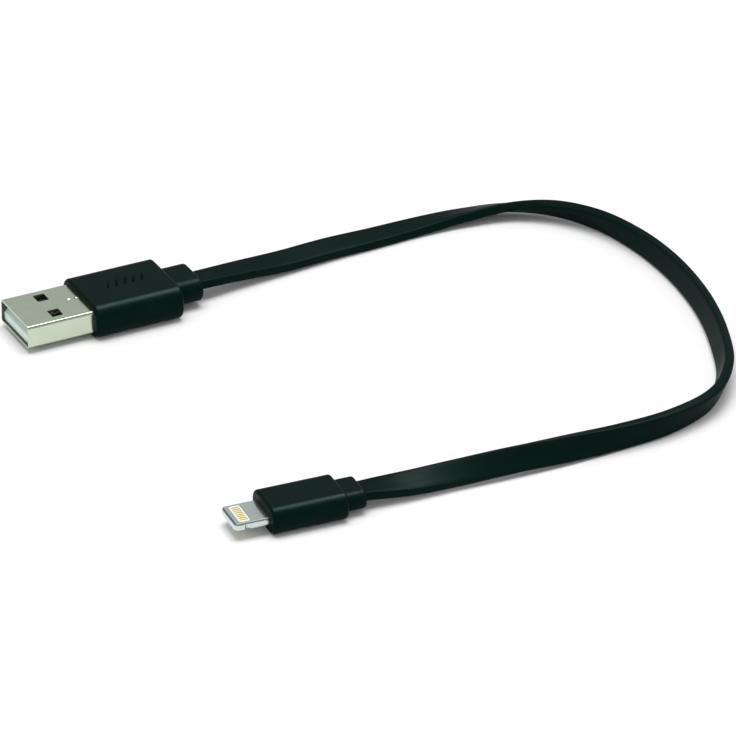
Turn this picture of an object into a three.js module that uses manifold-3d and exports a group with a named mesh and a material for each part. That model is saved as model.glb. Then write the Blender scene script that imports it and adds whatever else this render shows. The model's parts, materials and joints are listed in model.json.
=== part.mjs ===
// Short flat charging cable: a 4-contact host plug, a ribbon cord and a small 8-contact phone plug.
// Millimetres, +Z up. The origin is on the resting surface, under the middle of the two plugs.
// Each plug is drawn in its own frame: X runs from its tip to its cord, Y across it, Z up. The
// phone plug lies turned by a few degrees, so only the host plug's X is the part's own.
import * as THREE from 'three';
import { mergeVertices } from 'three/addons/utils/BufferGeometryUtils.js';
import Module from 'manifold-3d';

const wasm = await Module();
wasm.setup();

// ---- general clearances -------------------------------------------------------------------
const GAP = 0.1;                 // between parts that are pressed or moulded together
const CUT_MARGIN = 1;            // how far a cutting tool runs past the face it opens

// ---- ribbon cord --------------------------------------------------------------------------
const RIBBON_WIDTH = 4.7;
const RIBBON_THICKNESS = 1.8;
const JACKET_WALL = 0.4;
const CONDUCTOR_DIAMETER = 0.7;
const CONDUCTOR_PITCH = 0.95;
const CONDUCTORS = ['power', 'data_minus', 'data_plus', 'ground'];
const CORD_STEPS = 60;
const CHANNEL_PARTS = 5;         // facets across the jacket's hollow, so that it follows the twist
const CORD_LEAD_OUT = 1.5;       // straight run of the ribbon behind each collar

// ---- host plug ----------------------------------------------------------------------------
const HOST_CORNER = [-17.85, 37.59];   // tip of the host plug, in plan
const SHELL_WIDTH = 12;
const SHELL_HEIGHT = 4.5;
const SHELL_SHEET = 0.3;
const SHELL_CORNER = 0.7;
const SHELL_LENGTH = 18.75;
const SHELL_EXPOSED = 12.9;
const TAIL_STEP = 0.1;           // how much the metal is set in on each side inside a mould
const SHELL_SEAM = 0.12;
const WINDOW_WIDTH = 2.5;
const WINDOW_LENGTH = 2.2;
const WINDOW_START = 5.5;
const WINDOW_SPACING = 6.2;
const TONGUE_SETBACK = 0.5;
const TONGUE_THICKNESS = 2.2;
const TONGUE_LENGTH = 11.4;
const TONGUE_CHAMFER = 0.7;
const BASE_LENGTH = 3.7;
const CONTACT_WIDTH = 1;
const CONTACT_THICKNESS = 0.3;
const CONTACT_PLACES = [-3.5, -1, 1, 3.5];
const OUTER_CONTACT_START = 1.3;
const INNER_CONTACT_START = 2.3;
const CONTACT_TAIL = 2.2;
const HOST_SHOULDER_WIDTH = 1.6; // how far the mould stands out beside the shell
const HOST_SHOULDER_HEIGHT = 1.05;
const HOST_MOULD_WIDTH = SHELL_WIDTH + 2 * HOST_SHOULDER_WIDTH;
const HOST_MOULD_HEIGHT = SHELL_HEIGHT + 2 * HOST_SHOULDER_HEIGHT;
const HOST_MOULD_LENGTH = 17.4;
const HOST_MOULD_CORNER = 1.9;
const HOST_MOULD_FILLET = 0.5;
const HOST_MOULD_WALL = 0.5;
const HOST_FRONT_WALL = 1.4;
const HOST_REAR_WALL = 2.2;
const HOST_COLLAR = { width: 9.4, height: 4.8, length: 5.4, corner: 2.3, fillet: 0.6 };
const HOST_SPIGOT_WALL = 0.7;

// ---- phone plug ---------------------------------------------------------------------------
const PHONE_CORNER = [-12.99, -38.72]; // tip of the phone plug, in plan
const PHONE_TURN = -4.4;               // degrees that its axis is turned from the host plug's
const TAB_WIDTH = 6.7;
const TAB_THICKNESS = 1.5;
const TAB_EXPOSED = 6.4;
const TAB_CORNER = 1.1;
const TAB_EDGE = 0.3;
const TAB_WINDOW_START = 1.05;
const TAB_WINDOW_LENGTH = 2.1;
const TAB_WINDOW_WIDTH = TAB_WIDTH - 1.3;
const TAB_WINDOW_CORNER = 0.5;
const TAB_TAIL = 3.4;
const TAB_SLOT_WIDTH = 4.4;
const TAB_SLOT_HEIGHT = 0.8;
const FLANGE_WIDTH = TAB_WIDTH + 1.3;
const FLANGE_HEIGHT = TAB_THICKNESS + 1.1;
const FLANGE_THICKNESS = 0.8;
const DETENT_PLACE = 2.4;
const DETENT_RADIUS = 0.7;
const DETENT_DEPTH = 0.35;
const PAD_COUNT = 8;
const PAD_PITCH = 0.58;
const PAD_WIDTH = 0.38;
const PAD_LENGTH = 1.4;
const PAD_THICKNESS = 0.1;
const BOARD_WIDTH = 5.2;
const BOARD_THICKNESS = 0.5;
const BOARD_LENGTH = 6.2;
const SHIELD_SHEET = 0.15;
const SHIELD_WIDTH = TAB_WIDTH + 0.7;
const SHIELD_HEIGHT = 3.2;
const PHONE_SHOULDER_WIDTH = 1.6; // how far the mould stands out beside the tab
const PHONE_SHOULDER_HEIGHT = 1.8;
const PHONE_MOULD_WIDTH = TAB_WIDTH + 2 * PHONE_SHOULDER_WIDTH;
const PHONE_MOULD_HEIGHT = TAB_THICKNESS + 2 * PHONE_SHOULDER_HEIGHT;
const PHONE_MOULD_LENGTH = 13.9;
const PHONE_MOULD_CORNER = 1.5;
const PHONE_MOULD_FILLET = 0.4;
const PHONE_MOULD_WALL = 0.5;
const PHONE_FRONT_WALL = 0.9;
const PHONE_REAR_WALL = 1.3;
const PHONE_COLLAR = { width: 7.4, height: 3.6, length: 3.8, corner: 1.6, fillet: 0.4 };
const PHONE_SPIGOT_WALL = 0.4;

// ---- route of the ribbon, chosen by hand ----------------------------------------------------
// Each line is the middle of the ribbon in plan, its height, and its twist in degrees. A twist of 0
// lies flat and -90 stands on edge, and the height lets the lower edge rest on the surface.
const ROUTE = [
  [27, 38.5, 2.7, 5],
  [37, 39.5, 1.9, 12],
  [47, 40.5, 1.6, 13],
  [57, 41, 1.3, 8],
  [67, 41.5, 1.2, 0],
  [76, 41, 1.6, -15],
  [85, 39, 2.1, -30],
  [92, 34, 2.5, -50],
  [97, 26, 2.6, -70],
  [99.5, 16, 2.6, -85],
  [100, 6, 2.6, -95],
  [99, -4, 2.6, -100],
  [97, -13, 2.6, -105],
  [93.5, -23, 2.6, -110],
  [88.5, -33, 2.6, -110],
  [81, -40.5, 2.6, -110],
  [71, -44, 2.6, -100],
  [60, -44.5, 2.5, -90],
  [49, -44, 2.6, -70],
  [38, -43, 2.5, -50],
  [28, -42, 2.2, -35],
  [20, -41.5, 2.3, -20],
];

// ---- materials ------------------------------------------------------------------------------
const finish = (color, roughness, metalness) => ({ color, roughness, metalness });
const STEEL = finish(0xb9c0b6, 0.3, 1);
const BLACK_RUBBER = finish(0x17211f, 0.5, 0);
const BLACK_JACKET = finish(0x1f2c2a, 0.45, 0);
const WHITE_PLASTIC = finish(0xe6eef2, 0.45, 0);
const GREY_PLASTIC = finish(0x55595a, 0.6, 0);
const GOLD = finish(0xd9b64c, 0.3, 1);
const BOARD_GREEN = finish(0x1f5a3a, 0.5, 0);
const CHIP_BLACK = finish(0x151515, 0.4, 0);
const CERAMIC = finish(0xb08a5c, 0.6, 0);
const WIRE_COLOURS = {
  power: finish(0xa32020, 0.5, 0),
  data_minus: finish(0xe8e8e4, 0.5, 0),
  data_plus: finish(0x2a7a3c, 0.5, 0),
  ground: finish(0x111111, 0.5, 0),
};

// ---- solids ---------------------------------------------------------------------------------
const ALONG_X = new THREE.Matrix4().makeBasis(
  new THREE.Vector3(0, 1, 0),
  new THREE.Vector3(0, 0, 1),
  new THREE.Vector3(1, 0, 0),
);
const ACROSS_Y = new THREE.Matrix4().makeBasis(
  new THREE.Vector3(1, 0, 0),
  new THREE.Vector3(0, 0, 1),
  new THREE.Vector3(0, -1, 0),
);

function toSolid(geometry) {
  const bare = geometry.clone();
  bare.deleteAttribute('normal');
  bare.deleteAttribute('uv');
  const merged = mergeVertices(bare, 1e-5);
  return new wasm.Manifold(new wasm.Mesh({
    numProp: 3,
    vertProperties: new Float32Array(merged.attributes.position.array),
    triVerts: new Uint32Array(merged.index.array),
  }));
}

function toGeometry(solid) {
  const mesh = solid.getMesh();
  const geometry = new THREE.BufferGeometry();
  geometry.setAttribute('position', new THREE.BufferAttribute(mesh.vertProperties, 3));
  geometry.setIndex(new THREE.BufferAttribute(mesh.triVerts, 1));
  geometry.computeVertexNormals();
  return geometry;
}

const joined = (first, ...others) => others.reduce((whole, part) => whole.add(part), first);
const cut = (body, ...tools) => tools.reduce((left, tool) => left.subtract(tool), body);

function roundedOutline(width, height, corner) {
  const outline = new THREE.Shape();
  const x = width / 2;
  const y = height / 2;
  const r = Math.min(corner, x, y);
  outline.moveTo(x, -y + r);
  outline.lineTo(x, y - r);
  outline.absarc(x - r, y - r, r, 0, Math.PI / 2, false);
  outline.lineTo(-x + r, y);
  outline.absarc(-x + r, y - r, r, Math.PI / 2, Math.PI, false);
  outline.lineTo(-x, -y + r);
  outline.absarc(-x + r, -y + r, r, Math.PI, 1.5 * Math.PI, false);
  outline.lineTo(x - r, -y);
  outline.absarc(x - r, -y + r, r, 1.5 * Math.PI, 2 * Math.PI, false);
  return outline;
}

// A bar of rounded section running along X from one station to another.
function bar(from, to, width, height, corner, z = 0) {
  const shape = roundedOutline(width, height, corner);
  const geometry = new THREE.ExtrudeGeometry(shape, {
    depth: to - from,
    bevelEnabled: false,
    curveSegments: 3,
  });
  geometry.applyMatrix4(ALONG_X).translate(from, 0, z);
  return toSolid(geometry);
}

// The same bar with its end edges rounded by a small fillet.
function softBar(from, to, width, height, corner, fillet) {
  const shape = roundedOutline(width, height, corner);
  const geometry = new THREE.ExtrudeGeometry(shape, {
    depth: to - from - 2 * fillet,
    bevelEnabled: true,
    bevelThickness: fillet,
    bevelSize: fillet,
    bevelOffset: -fillet,
    bevelSegments: 2,
    curveSegments: 5,
  });
  geometry.applyMatrix4(ALONG_X).translate(from + fillet, 0, 0);
  return toSolid(geometry);
}

// A plain block from its lowest to its highest corner.
function block(low, high) {
  const geometry = new THREE.BoxGeometry(high[0] - low[0], high[1] - low[1], high[2] - low[2]);
  geometry.translate((low[0] + high[0]) / 2, (low[1] + high[1]) / 2, (low[2] + high[2]) / 2);
  return toSolid(geometry);
}

const object = new THREE.Group();

function addMesh(group, name, geometry, look) {
  const mesh = new THREE.Mesh(geometry, new THREE.MeshStandardMaterial(look));
  mesh.name = name;
  group.add(mesh);
}

// ---- places along each plug, worked out from its sizes ----------------------------------------
const hostAxisHeight = HOST_MOULD_HEIGHT / 2;
const hostFront = SHELL_EXPOSED;
const hostRear = hostFront + HOST_MOULD_LENGTH;
const hostCavityFront = hostFront + HOST_FRONT_WALL;
const hostCavityRear = hostRear - HOST_REAR_WALL;
const hostTailEnd = TONGUE_SETBACK + TONGUE_LENGTH + BASE_LENGTH + CONTACT_TAIL;
const hostWiresEnd = hostTailEnd + 3 * GAP;
const hostFanEnd = hostWiresEnd + 5;
const hostJacketStart = hostFanEnd + 0.7;
const phoneAxisHeight = PHONE_MOULD_HEIGHT / 2;
const phoneFront = TAB_EXPOSED;
const phoneRear = phoneFront + PHONE_MOULD_LENGTH;
const phoneCavityFront = phoneFront + PHONE_FRONT_WALL;
const phoneCavityRear = phoneRear - PHONE_REAR_WALL;
const flangeFront = phoneCavityFront + GAP;
const tabEnd = flangeFront + TAB_TAIL;
const boardStart = tabEnd + GAP;
const boardEnd = boardStart + BOARD_LENGTH;
const phoneWiresEnd = boardEnd + 3 * GAP;
const phoneJacketStart = phoneWiresEnd + 0.6;

// ---- the cord's path --------------------------------------------------------------------------
// Stations carry a point, the direction across the ribbon and the direction through it.
class StationPath extends THREE.Curve {
  constructor(stations) {
    super();
    this.stations = stations;
  }

  getPoint(t, target = new THREE.Vector3()) {
    const last = this.stations.length - 1;
    const place = Math.min(t * last, last - 1e-9);
    const index = Math.floor(place);
    const before = this.stations[index].point;
    const after = this.stations[index + 1].point;
    return target.lerpVectors(before, after, place - index);
  }

  getSpacedPoints() {
    return this.stations.map((station) => station.point.clone());
  }

  computeFrenetFrames() {
    const normals = this.stations.map((station) => station.across);
    const binormals = this.stations.map((station) => station.through);
    const tangents = normals.map((across, i) => across.clone().cross(binormals[i]));
    return { tangents, normals, binormals };
  }
}

function inPlan(corner, along, height, turn = 0) {
  const angle = THREE.MathUtils.degToRad(turn);
  return new THREE.Vector3(
    corner[0] + along * Math.cos(angle), corner[1] + along * Math.sin(angle), height,
  );
}

function ribbonStations() {
  const hostAt = (along) => inPlan(HOST_CORNER, along, hostAxisHeight);
  const phoneAt = (along) => inPlan(PHONE_CORNER, along, phoneAxisHeight, PHONE_TURN);
  const hostExit = hostRear + HOST_COLLAR.length;
  const phoneExit = phoneRear + PHONE_COLLAR.length;
  const points = [
    hostAt(hostJacketStart),
    hostAt((hostJacketStart + hostExit) / 2),
    hostAt(hostExit),
    hostAt(hostExit + CORD_LEAD_OUT),
    ...ROUTE.map(([x, y, z]) => new THREE.Vector3(x, y, z)),
    phoneAt(phoneExit + CORD_LEAD_OUT),
    phoneAt(phoneExit),
    phoneAt((phoneJacketStart + phoneExit) / 2),
    phoneAt(phoneJacketStart),
  ];
  const twists = [0, 0, 0, 0, ...ROUTE.map((line) => line[3]), 0, 0, 0, 0];
  const middle = new THREE.CatmullRomCurve3(points, false, 'centripetal');
  const turn = new THREE.SplineCurve(twists.map((twist, i) => new THREE.Vector2(i, twist)));
  const up = new THREE.Vector3(0, 0, 1);
  const stations = [];
  for (let i = 0; i <= CORD_STEPS; i += 1) {
    const t = middle.getUtoTmapping(i / CORD_STEPS);
    const tangent = middle.getTangent(t);
    const left = up.clone().cross(tangent).normalize();
    const above = tangent.clone().cross(left);
    const twist = THREE.MathUtils.degToRad(turn.getPoint(t).y);
    stations.push({
      point: middle.getPoint(t),
      across: left.clone().multiplyScalar(Math.cos(twist)).addScaledVector(above, Math.sin(twist)),
      through: above.clone().multiplyScalar(Math.cos(twist)).addScaledVector(left, -Math.sin(twist)),
    });
  }
  return stations;
}

// One conductor keeps its place across the ribbon, and fans out to its contact or stays in line
// with the board at either end.
function conductorStations(ribbon, index) {
  const offset = (index - (CONDUCTORS.length - 1) / 2) * CONDUCTOR_PITCH;
  const beside = (station) => ({
    ...station,
    point: station.point.clone().addScaledVector(station.across, offset),
  });
  const first = beside(ribbon[0]);
  const last = beside(ribbon[ribbon.length - 1]);
  const contact = inPlan(HOST_CORNER, hostWiresEnd, hostAxisHeight);
  contact.y += CONTACT_PLACES[index];
  const fan = inPlan(HOST_CORNER, hostFanEnd, hostAxisHeight);
  fan.y += offset;
  const board = last.point.clone();
  board.add(inPlan([0, 0], phoneWiresEnd - phoneJacketStart, 0, PHONE_TURN));
  return [
    { ...first, point: contact },
    { ...first, point: fan },
    ...ribbon.map(beside),
    { ...last, point: board },
  ];
}

function alongStations(shape, stations) {
  return new THREE.ExtrudeGeometry(shape, {
    steps: stations.length - 1,
    extrudePath: new StationPath(stations),
    curveSegments: 8,
  });
}

// Eight-sided section with flat faces and sloping shoulders, as wide and thick as given.
function ribbonOutline(width, thickness) {
  const outline = new THREE.Shape();
  const shoulder = thickness * 0.3;
  const x = width / 2;
  const y = thickness / 2;
  outline.moveTo(x, -y + shoulder);
  outline.lineTo(x, y - shoulder);
  outline.lineTo(x - shoulder, y);
  outline.lineTo(-x + shoulder, y);
  outline.lineTo(-x, y - shoulder);
  outline.lineTo(-x, -y + shoulder);
  outline.lineTo(-x + shoulder, -y);
  outline.lineTo(x - shoulder, -y);
  outline.closePath();
  return outline;
}

function buildCord() {
  const ribbon = ribbonStations();
  const jacket = ribbonOutline(RIBBON_WIDTH, RIBBON_THICKNESS);
  const inside = new THREE.Path();
  const x = RIBBON_WIDTH / 2 - JACKET_WALL;
  const y = RIBBON_THICKNESS / 2 - JACKET_WALL;
  inside.moveTo(x, -y);
  for (let part = 1; part <= CHANNEL_PARTS; part += 1) {
    inside.lineTo(x - (2 * x * part) / CHANNEL_PARTS, -y);
  }
  for (let part = 0; part <= CHANNEL_PARTS; part += 1) {
    inside.lineTo(-x + (2 * x * part) / CHANNEL_PARTS, y);
  }
  inside.closePath();
  jacket.holes.push(inside);
  addMesh(object, 'cord_jacket', alongStations(jacket, ribbon), BLACK_JACKET);
  CONDUCTORS.forEach((name, index) => {
    const section = new THREE.Shape();
    const corners = 8;
    for (let corner = 0; corner < corners; corner += 1) {
      const angle = ((corner + 0.5) / corners) * 2 * Math.PI;
      const px = (CONDUCTOR_DIAMETER / 2) * Math.cos(angle);
      const py = (CONDUCTOR_DIAMETER / 2) * Math.sin(angle);
      if (corner === 0) section.moveTo(px, py);
      else section.lineTo(px, py);
    }
    section.closePath();
    const geometry = alongStations(section, conductorStations(ribbon, index));
    addMesh(object, `cord_conductor_${name}`, geometry, WIRE_COLOURS[name]);
  });
}

// ---- host plug ----------------------------------------------------------------------------------
const mouthWidth = SHELL_WIDTH - 2 * SHELL_SHEET;
const mouthHeight = SHELL_HEIGHT - 2 * SHELL_SHEET;
const tongueBottom = -mouthHeight / 2 + GAP;
const tongueTop = tongueBottom + TONGUE_THICKNESS;
const shellTail = [SHELL_WIDTH - 2 * TAIL_STEP, SHELL_HEIGHT - 2 * TAIL_STEP];

function shellSolid() {
  const front = bar(0, SHELL_EXPOSED - GAP / 2, SHELL_WIDTH, SHELL_HEIGHT, SHELL_CORNER);
  const tail = bar(
    SHELL_EXPOSED - GAP, SHELL_LENGTH, shellTail[0], shellTail[1], SHELL_CORNER - TAIL_STEP,
  );
  const mouth = bar(
    -CUT_MARGIN, SHELL_LENGTH + CUT_MARGIN, mouthWidth, mouthHeight, SHELL_CORNER - SHELL_SHEET,
  );
  const windows = [];
  for (const side of [-1, 1]) {
    const middle = (side * WINDOW_SPACING) / 2;
    windows.push(block(
      [WINDOW_START, middle - WINDOW_WIDTH / 2, -SHELL_HEIGHT],
      [WINDOW_START + WINDOW_LENGTH, middle + WINDOW_WIDTH / 2, SHELL_HEIGHT],
    ));
  }
  const seam = block(
    [-CUT_MARGIN, -SHELL_SEAM / 2, -SHELL_HEIGHT],
    [SHELL_LENGTH + CUT_MARGIN, SHELL_SEAM / 2, -mouthHeight / 2 + GAP / 2],
  );
  return cut(joined(front, tail), mouth, ...windows, seam);
}

// Flat blade that lies in the tongue and steps up to the middle height behind it.
function contactSolid(index, clearance = 0) {
  const outer = Math.abs(CONTACT_PLACES[index]) > 2;
  const start = outer ? OUTER_CONTACT_START : INNER_CONTACT_START;
  const bend = TONGUE_SETBACK + TONGUE_LENGTH + 0.8;
  const half = CONTACT_THICKNESS / 2 + clearance;
  const blade = tongueTop - CONTACT_THICKNESS / 2;
  const profile = new THREE.Shape();
  profile.moveTo(start - clearance, blade - half);
  profile.lineTo(bend, blade - half);
  profile.lineTo(bend + 0.5, -half);
  profile.lineTo(hostTailEnd, -half);
  profile.lineTo(hostTailEnd, half);
  profile.lineTo(bend + 0.5, half);
  profile.lineTo(bend, blade + half);
  profile.lineTo(start - clearance, blade + half);
  profile.closePath();
  const width = CONTACT_WIDTH + 2 * clearance;
  const geometry = new THREE.ExtrudeGeometry(profile, { depth: width, bevelEnabled: false });
  geometry.applyMatrix4(ACROSS_Y).translate(0, CONTACT_PLACES[index] + width / 2, 0);
  return toSolid(geometry);
}

function tongueSolid() {
  const side = mouthWidth / 2 - GAP;
  const front = TONGUE_SETBACK;
  const back = front + TONGUE_LENGTH;
  const blade = new THREE.Shape();
  blade.moveTo(front, tongueBottom);
  blade.lineTo(back + BASE_LENGTH, tongueBottom);
  blade.lineTo(back + BASE_LENGTH, mouthHeight / 2 - GAP);
  blade.lineTo(back, mouthHeight / 2 - GAP);
  blade.lineTo(back, tongueTop);
  blade.lineTo(front + TONGUE_CHAMFER, tongueTop);
  blade.lineTo(front, tongueTop - TONGUE_CHAMFER);
  blade.closePath();
  const geometry = new THREE.ExtrudeGeometry(blade, { depth: 2 * side, bevelEnabled: false });
  geometry.applyMatrix4(ACROSS_Y).translate(0, side, 0);
  const grooves = CONTACT_PLACES.map((place, index) => contactSolid(index, GAP));
  const mouth = bar(
    0, back + BASE_LENGTH + CUT_MARGIN, 2 * side, mouthHeight - 2 * GAP,
    SHELL_CORNER - SHELL_SHEET,
  );
  return cut(toSolid(geometry).intersect(mouth), ...grooves);
}

function hostInnerSolid() {
  const width = HOST_MOULD_WIDTH - 2 * (HOST_MOULD_WALL + GAP);
  const height = HOST_MOULD_HEIGHT - 2 * (HOST_MOULD_WALL + GAP);
  const front = hostCavityFront + GAP;
  const back = hostCavityRear - GAP;
  const body = bar(front, back, width, height, 1.2);
  const shellPocket = bar(
    front - CUT_MARGIN, SHELL_LENGTH + GAP, shellTail[0] + 2 * GAP, shellTail[1] + 2 * GAP,
    SHELL_CORNER,
  );
  const tails = CONTACT_PLACES[CONTACT_PLACES.length - 1] * 2 + CONTACT_WIDTH + 4 * GAP;
  const wirePocket = bar(SHELL_LENGTH, hostFanEnd + 0.4, tails, CONDUCTOR_DIAMETER + 6 * GAP, 0.3);
  return cut(body, shellPocket, wirePocket, ribbonSlot(hostFanEnd, back + CUT_MARGIN, 2 * GAP));
}

function ribbonSlot(from, to, clearance) {
  const outline = ribbonOutline(
    RIBBON_WIDTH + 2 * clearance, RIBBON_THICKNESS + 2 * clearance,
  );
  const geometry = new THREE.ExtrudeGeometry(outline, { depth: to - from, bevelEnabled: false });
  geometry.applyMatrix4(ALONG_X).translate(from, 0, 0);
  return toSolid(geometry);
}

// Outer grip: a hollow rounded block, open at the front for the metal part and behind for the cord.
function gripSolid(plug) {
  const body = softBar(plug.front, plug.rear, plug.width, plug.height, plug.corner, plug.fillet);
  const wall = 2 * plug.wall;
  const cavity = bar(
    plug.cavityFront, plug.cavityRear, plug.width - wall, plug.height - wall,
    plug.corner - plug.wall,
  );
  const mouth = bar(
    plug.front - CUT_MARGIN, plug.cavityFront + CUT_MARGIN, plug.mouth[0] + 2 * GAP,
    plug.mouth[1] + 2 * GAP, plug.mouth[2],
  );
  const rearHole = bar(
    plug.cavityRear - CUT_MARGIN, plug.rear + CUT_MARGIN, plug.spigot[0] + 2 * GAP,
    plug.spigot[1] + 2 * GAP, 0.9,
  );
  return cut(body, cavity, mouth, rearHole);
}

const spigotOf = (wall) => [
  RIBBON_WIDTH + 2 * (GAP + wall),
  RIBBON_THICKNESS + 2 * (GAP + wall),
];

// Strain relief: an oval collar behind the grip with a spigot through the grip's rear wall.
function reliefSolid(plug, collar) {
  const start = plug.rear + GAP;
  const end = plug.rear + collar.length;
  const round = softBar(start, end, collar.width, collar.height, collar.corner, collar.fillet);
  const spigotStart = plug.cavityRear + GAP;
  const spigot = bar(spigotStart, start + collar.fillet + 0.5, plug.spigot[0], plug.spigot[1], 0.9);
  return cut(
    joined(round, spigot),
    ribbonSlot(spigotStart - CUT_MARGIN, end + CUT_MARGIN, GAP),
  );
}

const HOST = {
  front: hostFront,
  rear: hostRear,
  width: HOST_MOULD_WIDTH,
  height: HOST_MOULD_HEIGHT,
  corner: HOST_MOULD_CORNER,
  fillet: HOST_MOULD_FILLET,
  wall: HOST_MOULD_WALL,
  cavityFront: hostCavityFront,
  cavityRear: hostCavityRear,
  mouth: [...shellTail, SHELL_CORNER],
  spigot: spigotOf(HOST_SPIGOT_WALL),
};

function buildHostPlug() {
  const plug = new THREE.Group();
  plug.position.set(HOST_CORNER[0], HOST_CORNER[1], hostAxisHeight);
  addMesh(plug, 'host_plug_shell', toGeometry(shellSolid()), STEEL);
  addMesh(plug, 'host_plug_tongue', toGeometry(tongueSolid()), WHITE_PLASTIC);
  CONTACT_PLACES.forEach((place, index) => {
    addMesh(plug, `host_plug_contact_${index + 1}`, toGeometry(contactSolid(index)), GOLD);
  });
  addMesh(plug, 'host_plug_inner_mould', toGeometry(hostInnerSolid()), GREY_PLASTIC);
  addMesh(plug, 'host_plug_overmould', toGeometry(gripSolid(HOST)), BLACK_RUBBER);
  addMesh(plug, 'host_plug_strain_relief', toGeometry(reliefSolid(HOST, HOST_COLLAR)), BLACK_RUBBER);
  object.add(plug);
}

// ---- phone plug -----------------------------------------------------------------------------------
const tabTail = [TAB_WIDTH - 2 * TAIL_STEP, TAB_THICKNESS - 2 * TAIL_STEP];

const PHONE = {
  front: phoneFront,
  rear: phoneRear,
  width: PHONE_MOULD_WIDTH,
  height: PHONE_MOULD_HEIGHT,
  corner: PHONE_MOULD_CORNER,
  fillet: PHONE_MOULD_FILLET,
  wall: PHONE_MOULD_WALL,
  cavityFront: phoneCavityFront,
  cavityRear: phoneCavityRear,
  mouth: [...tabTail, TAB_EDGE],
  spigot: spigotOf(PHONE_SPIGOT_WALL),
};

// Outline of the tab's exposed length in plan, rounded at its two front corners.
function tabOutline() {
  const outline = new THREE.Shape();
  const half = TAB_WIDTH / 2;
  outline.moveTo(TAB_EXPOSED + TAB_EDGE, -half);
  outline.lineTo(TAB_EXPOSED + TAB_EDGE, half);
  outline.lineTo(TAB_CORNER, half);
  outline.absarc(TAB_CORNER, half - TAB_CORNER, TAB_CORNER, Math.PI / 2, Math.PI, false);
  outline.lineTo(0, -half + TAB_CORNER);
  outline.absarc(TAB_CORNER, -half + TAB_CORNER, TAB_CORNER, Math.PI, 1.5 * Math.PI, false);
  outline.closePath();
  return outline;
}

function tabSolid() {
  const geometry = new THREE.ExtrudeGeometry(tabOutline(), {
    depth: TAB_THICKNESS - 2 * TAB_EDGE,
    bevelEnabled: true,
    bevelThickness: TAB_EDGE,
    bevelSize: TAB_EDGE,
    bevelOffset: -TAB_EDGE,
    bevelSegments: 2,
    curveSegments: 6,
  });
  geometry.translate(0, 0, TAB_EDGE - TAB_THICKNESS / 2);
  const shoulder = TAB_EXPOSED - GAP / 2;
  const front = cut(toSolid(geometry), block(
    [shoulder, -TAB_WIDTH, -TAB_THICKNESS],
    [TAB_EXPOSED + CUT_MARGIN, TAB_WIDTH, TAB_THICKNESS],
  ));
  const tail = bar(shoulder - GAP / 2, tabEnd, tabTail[0], tabTail[1], TAB_EDGE - TAIL_STEP);
  const flange = bar(
    flangeFront, flangeFront + FLANGE_THICKNESS, FLANGE_WIDTH, FLANGE_HEIGHT, 0.5,
  );
  const opening = new THREE.ExtrudeGeometry(
    roundedOutline(TAB_WINDOW_LENGTH, TAB_WINDOW_WIDTH, TAB_WINDOW_CORNER),
    { depth: 2 * TAB_THICKNESS, bevelEnabled: false, curveSegments: 3 },
  );
  opening.translate(TAB_WINDOW_START + TAB_WINDOW_LENGTH / 2, 0, -TAB_THICKNESS);
  const slotHalf = [TAB_SLOT_WIDTH / 2, TAB_SLOT_HEIGHT / 2];
  const slot = block(
    [TAB_WINDOW_START + TAB_WINDOW_LENGTH / 2, -slotHalf[0], -slotHalf[1]],
    [tabEnd + CUT_MARGIN, slotHalf[0], slotHalf[1]],
  );
  const detents = [-1, 1].map((side) => {
    const round = new THREE.CylinderGeometry(DETENT_RADIUS, DETENT_RADIUS, 2 * TAB_THICKNESS, 12);
    round.rotateX(Math.PI / 2);
    round.translate(DETENT_PLACE, side * (TAB_WIDTH / 2 + DETENT_RADIUS - DETENT_DEPTH), 0);
    return toSolid(round);
  });
  return cut(joined(front, tail, flange), toSolid(opening), slot, ...detents);
}

function carrierSolid() {
  const depth = TAB_THICKNESS - 2 * (PAD_THICKNESS + GAP);
  const insert = new THREE.ExtrudeGeometry(
    roundedOutline(
      TAB_WINDOW_LENGTH - 2 * GAP, TAB_WINDOW_WIDTH - 2 * GAP, TAB_WINDOW_CORNER - GAP,
    ),
    { depth, bevelEnabled: false, curveSegments: 3 },
  );
  const middle = TAB_WINDOW_START + TAB_WINDOW_LENGTH / 2;
  insert.translate(middle, 0, -depth / 2);
  const reach = block(
    [middle, -TAB_SLOT_WIDTH / 2 + GAP, -TAB_SLOT_HEIGHT / 2 + GAP],
    [tabEnd, TAB_SLOT_WIDTH / 2 - GAP, TAB_SLOT_HEIGHT / 2 - GAP],
  );
  return joined(toSolid(insert), reach);
}

function padSolid(index, side) {
  const place = (index - (PAD_COUNT - 1) / 2) * PAD_PITCH;
  const middle = TAB_WINDOW_START + TAB_WINDOW_LENGTH / 2;
  const outer = TAB_THICKNESS / 2 - GAP / 2;
  const low = side > 0 ? outer - PAD_THICKNESS : -outer;
  return block(
    [middle - PAD_LENGTH / 2, place - PAD_WIDTH / 2, low],
    [middle + PAD_LENGTH / 2, place + PAD_WIDTH / 2, low + PAD_THICKNESS],
  );
}

// Small parts soldered to the board: [name, place along it, place across it, length, width, height].
const BOARD_PARTS = [
  ['phone_plug_main_chip', 1.7, 0, 2.2, 2.2, 0.7, 1, CHIP_BLACK],
  ['phone_plug_switch_chip', 1.8, 0.4, 1.8, 1.6, 0.6, -1, CHIP_BLACK],
  ['phone_plug_capacitor_1', 3.8, -1.2, 0.6, 1, 0.5, 1, CERAMIC],
  ['phone_plug_capacitor_2', 3.8, 1.2, 0.6, 1, 0.5, 1, CERAMIC],
  ['phone_plug_resistor', 3.9, -1.2, 0.5, 1, 0.35, -1, CHIP_BLACK],
];

function boardPart([, along, across, length, width, height, side]) {
  const face = BOARD_THICKNESS / 2 + GAP / 2;
  const low = side > 0 ? face : -face - height;
  const start = boardStart + along - length / 2;
  return block(
    [start, across - width / 2, low],
    [start + length, across + width / 2, low + height],
  );
}

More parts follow.
